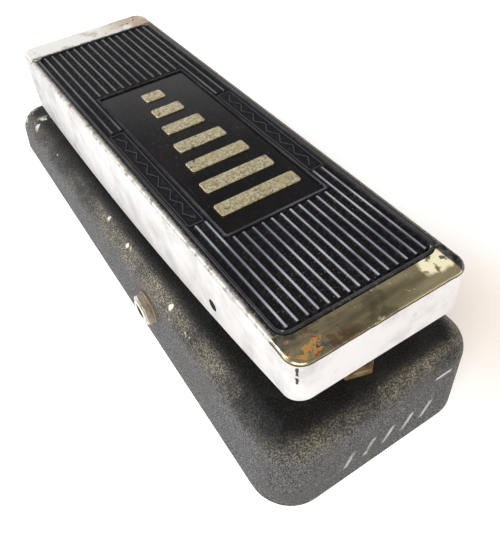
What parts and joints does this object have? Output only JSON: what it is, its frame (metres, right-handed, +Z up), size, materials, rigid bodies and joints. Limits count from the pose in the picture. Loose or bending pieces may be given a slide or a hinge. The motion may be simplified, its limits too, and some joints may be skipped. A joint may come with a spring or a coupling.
{
  "type": "volume pedal",
  "caption": "Rocker volume pedal: a cast wedge base with side jacks carries a chromed treadle with a ribbed rubber mat that turns a potentiometer by rack and pinion.",
  "frame": {"origin": "on the ground under the middle of the base", "axes": "+Z up, +Y from the toe end to the heel end, +X across the base towards the right-hand jack"},
  "size_m": [0.0952, 0.254, 0.0792],
  "materials": {
    "base_paint": "charcoal wrinkle paint, worn along the edges",
    "treadle_chrome": "polished chrome, tarnished to brass at the toe",
    "tread_rubber": "black ribbed rubber with a faint blue sheen",
    "foot_rubber": "matte black rubber",
    "gloss_panel": "smooth glossy black",
    "inlay_metal": "speckled, aged silver-gold metal",
    "steel": "zinc-plated steel",
    "brass": "aged brass",
    "nylon": "natural nylon",
    "phenolic": "brown phenolic board",
    "felt": "tan pressed felt",
    "wire_red": "red insulation",
    "wire_white": "off-white insulation",
    "wire_black": "black insulation"
  },
  "bodies": {
    "base": {"base_housing": "base_paint", "base_plate": "steel", "foot_toe_left": "foot_rubber", "foot_screw_toe_left": "steel", "foot_toe_right": "foot_rubber", "foot_screw_toe_right": "steel", "foot_heel_left": "foot_rubber", "foot_screw_heel_left": "steel", "foot_heel_right": "foot_rubber", "foot_screw_heel_right": "steel", "pivot_bracket": "steel", "pivot_bracket_screw_left": "steel", "pivot_bracket_screw_right": "steel", "pivot_bush_left": "brass", "pivot_bush_right": "brass", "heel_stop_pad_left": "foot_rubber", "heel_stop_pad_right": "foot_rubber", "pot_bracket": "steel", "pot_bracket_screw_left": "steel", "pot_bracket_screw_right": "steel", "pot_body": "steel", "pot_washer": "steel", "pot_nut": "brass", "rack_guide": "nylon", "wire_input": "wire_red", "wire_output": "wire_white", "wire_ground": "wire_black", "toe_switch_body": "steel", "toe_switch_nut": "brass", "left_jack_frame": "steel", "left_jack_stack": "phenolic", "left_jack_contact": "brass", "left_jack_washer": "brass", "left_jack_nut": "steel", "right_jack_frame": "steel", "right_jack_stack": "phenolic", "right_jack_contact": "brass", "right_jack_washer": "brass", "right_jack_nut": "steel"},
    "treadle": {"treadle_shell": "treadle_chrome", "tread_mat": "tread_rubber", "emblem_plate": "gloss_panel", "emblem_bar_1": "inlay_metal", "emblem_bar_2": "inlay_metal", "emblem_bar_3": "inlay_metal", "emblem_bar_4": "inlay_metal", "emblem_bar_5": "inlay_metal", "emblem_bar_6": "inlay_metal", "emblem_bar_7": "inlay_metal", "pivot_shaft": "brass", "pivot_clip_left": "steel", "pivot_clip_right": "steel", "rack_pin": "steel", "rack_pin_clip": "steel", "toe_press_pad": "felt"},
    "rack": {"rack": "nylon"},
    "pot_rotor": {"pot_shaft": "steel", "pinion": "brass"},
    "toe_button": {"toe_switch_button": "steel"}
  },
  "joints": [
    {"name": "treadle_rock", "type": "hinge", "parent": "base", "child": "treadle", "pos_m": [0, -0.07, 0.0575], "axis": [1, 0, 0], "range_deg": [-0.8, 14]},
    {"name": "rack_slide", "type": "slide", "parent": "base", "child": "rack", "axis": [0, 0, 1], "range_m": [-0.00049, 0.00833]},
    {"name": "pot_turn", "type": "hinge", "parent": "base", "child": "pot_rotor", "pos_m": [0.008, -0.03613, 0.0202], "axis": [0, 1, 0], "range_deg": [-5.64, 95.4]},
    {"name": "switch_press", "type": "slide", "parent": "base", "child": "toe_button", "axis": [0, 0.0843, 0.9964], "range_m": [-0.003, 0], "stiffness_N_per_m": 1500, "springref_m": 0.001}
  ],
  "couplings": [
    {"joint": "rack_slide", "follows": "treadle_rock", "m_per_rad": 0.034},
    {"joint": "pot_turn", "follows": "treadle_rock", "ratio": 6.8}
  ]
}
